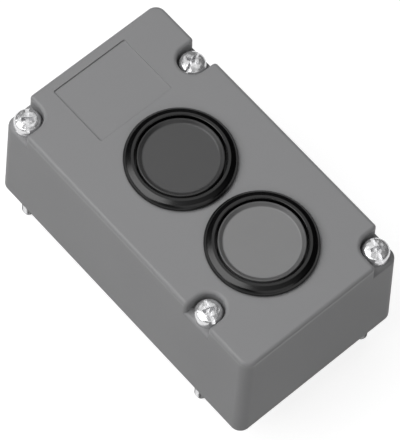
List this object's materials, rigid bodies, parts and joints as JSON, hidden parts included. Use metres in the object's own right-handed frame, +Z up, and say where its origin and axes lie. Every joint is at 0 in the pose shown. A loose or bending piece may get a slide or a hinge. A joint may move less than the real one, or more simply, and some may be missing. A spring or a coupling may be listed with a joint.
{
  "type": "pushbutton control module",
  "caption": "Fieldbus operator module: a moulded housing with flush lit pushbuttons, a blank label field and captive screws that fasten it on a flat coupling base.",
  "frame": {"origin": "centre of the base face, in the plane where the module meets its coupling base", "axes": "+Z up out of the button face, +Y along the housing towards the label field, +X to the right seen from above"},
  "size_m": [0.045, 0.08, 0.0464],
  "materials": {
    "housing_grey": "fine moulded grain",
    "gloss_black": "polished moulding",
    "cap_dark": "satin face, translucent",
    "cap_light": "satin face, translucent",
    "opal_white": "opal",
    "black_nylon": "as moulded",
    "natural_nylon": "as moulded",
    "seal_rubber": "matt",
    "plated_steel": "bright zinc plated",
    "spring_steel": "drawn wire",
    "contact_brass": "bright",
    "board_green": "solder resist",
    "black_resin": "moulded resin",
    "can_aluminium": "drawn",
    "lamp_clear": "clear resin"
  },
  "bodies": {
    "housing_body": {"housing": "housing_grey", "base_plate": "housing_grey", "housing_seal": "seal_rubber", "face_seal": "seal_rubber", "circuit_board": "board_green", "board_screws": "plated_steel", "contact_carrier": "black_nylon", "bus_pins": "contact_brass", "bus_chip": "black_resin", "capacitors": "can_aluminium", "surge_diodes": "black_resin", "upper_collar": "gloss_black", "upper_collar_gasket": "seal_rubber", "upper_ring_nut": "black_nylon", "upper_return_spring": "spring_steel", "upper_led": "lamp_clear", "upper_contact_block": "black_nylon", "upper_fixed_contacts": "contact_brass", "upper_contact_spring": "spring_steel", "lower_collar": "gloss_black", "lower_collar_gasket": "seal_rubber", "lower_ring_nut": "black_nylon", "lower_return_spring": "spring_steel", "lower_led": "lamp_clear", "lower_contact_block": "black_nylon", "lower_fixed_contacts": "contact_brass", "lower_contact_spring": "spring_steel"},
    "upper_button": {"upper_cap": "cap_dark", "upper_diffuser": "opal_white", "upper_plunger": "black_nylon", "upper_plunger_ring": "seal_rubber"},
    "upper_contact": {"upper_tappet": "opal_white", "upper_contact_bridge": "contact_brass"},
    "lower_button": {"lower_cap": "cap_light", "lower_diffuser": "opal_white", "lower_plunger": "black_nylon", "lower_plunger_ring": "seal_rubber"},
    "lower_contact": {"lower_tappet": "opal_white", "lower_contact_bridge": "contact_brass"},
    "washer_1": {"retaining_washer_1": "natural_nylon"},
    "screw_1": {"fixing_screw_1": "plated_steel"},
    "washer_2": {"retaining_washer_2": "natural_nylon"},
    "screw_2": {"fixing_screw_2": "plated_steel"},
    "washer_3": {"retaining_washer_3": "natural_nylon"},
    "screw_3": {"fixing_screw_3": "plated_steel"},
    "washer_4": {"retaining_washer_4": "natural_nylon"},
    "screw_4": {"fixing_screw_4": "plated_steel"}
  },
  "joints": [
    {"name": "upper_press", "type": "slide", "parent": "housing_body", "child": "upper_button", "axis": [0, 0, -1], "range_m": [0, 0.0025], "stiffness_N_per_m": 500, "springref_m": -0.004, "deforming": ["upper_return_spring"]},
    {"name": "upper_contact_press", "type": "slide", "parent": "housing_body", "child": "upper_contact", "axis": [0, 0, -1], "range_m": [0, 0.0025], "stiffness_N_per_m": 200, "springref_m": -0.003, "deforming": ["upper_contact_spring"]},
    {"name": "lower_press", "type": "slide", "parent": "housing_body", "child": "lower_button", "axis": [0, 0, -1], "range_m": [0, 0.0025], "stiffness_N_per_m": 500, "springref_m": -0.004, "deforming": ["lower_return_spring"]},
    {"name": "lower_contact_press", "type": "slide", "parent": "housing_body", "child": "lower_contact", "axis": [0, 0, -1], "range_m": [0, 0.0025], "stiffness_N_per_m": 200, "springref_m": -0.003, "deforming": ["lower_contact_spring"]},
    {"name": "screw_1_lift", "type": "slide", "parent": "housing_body", "child": "washer_1", "axis": [0, 0, 1], "range_m": [0, 0.013]},
    {"name": "screw_1_turn", "type": "hinge", "parent": "washer_1", "child": "screw_1", "pos_m": [-0.0182, 0.0355, 0], "axis": [0, 0, -1], "continuous": true},
    {"name": "screw_2_lift", "type": "slide", "parent": "housing_body", "child": "washer_2", "axis": [0, 0, 1], "range_m": [0, 0.013]},
    {"name": "screw_2_turn", "type": "hinge", "parent": "washer_2", "child": "screw_2", "pos_m": [0.0182, 0.0234, 0], "axis": [0, 0, -1], "continuous": true},
    {"name": "screw_3_lift", "type": "slide", "parent": "housing_body", "child": "washer_3", "axis": [0, 0, 1], "range_m": [0, 0.013]},
    {"name": "screw_3_turn", "type": "hinge", "parent": "washer_3", "child": "screw_3", "pos_m": [-0.0182, -0.0234, 0], "axis": [0, 0, -1], "continuous": true},
    {"name": "screw_4_lift", "type": "slide", "parent": "housing_body", "child": "washer_4", "axis": [0, 0, 1], "range_m": [0, 0.013]},
    {"name": "screw_4_turn", "type": "hinge", "parent": "washer_4", "child": "screw_4", "pos_m": [0.0182, -0.0355, 0], "axis": [0, 0, -1], "continuous": true}
  ],
  "couplings": [
    {"joint": "upper_contact_press", "follows": "upper_press", "ratio": 1},
    {"joint": "lower_contact_press", "follows": "lower_press", "ratio": 1}
  ]
}
